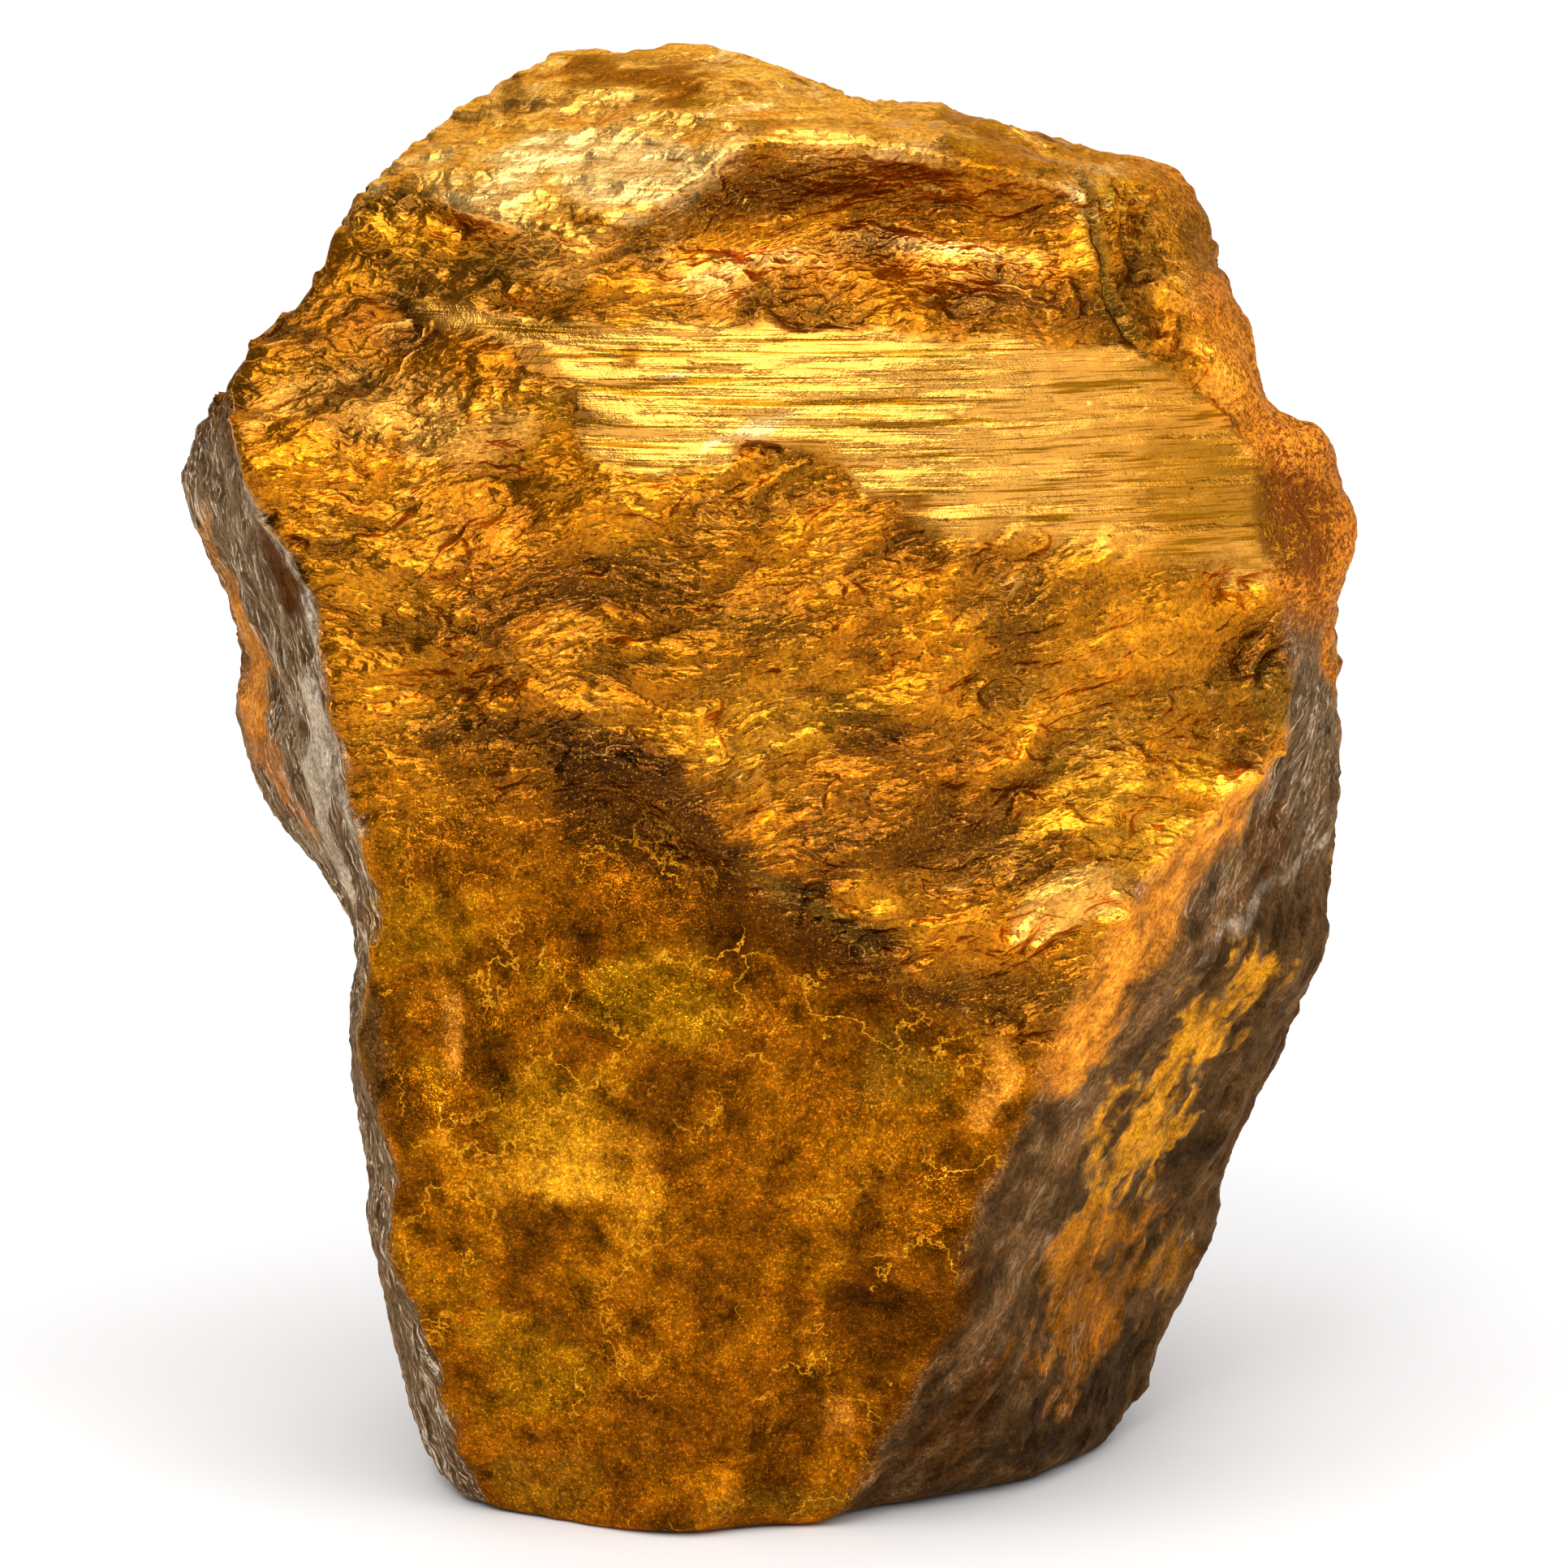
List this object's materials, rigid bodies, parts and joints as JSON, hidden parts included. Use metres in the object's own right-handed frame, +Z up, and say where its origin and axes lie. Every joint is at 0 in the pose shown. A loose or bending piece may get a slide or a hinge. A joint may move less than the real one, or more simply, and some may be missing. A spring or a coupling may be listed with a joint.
{
  "type": "rough nellite",
  "caption": "Rough, unpolished chunk of golden-brown fibrous stone, wide at the shoulders and tapering to a flat-rubbed foot, with a silky front face.",
  "frame": {"origin": "centre of the bounding box, on the plane that the stone stands on", "axes": "+Z up along the stone's height, -Y out of the broad silky face, +X to the right of that face"},
  "size_m": [0.0494, 0.0366, 0.06],
  "materials": {
    "stone": "silky, rough broken faces"
  },
  "bodies": {
    "root": {"nellite_stone": "stone"}
  },
  "joints": []
}
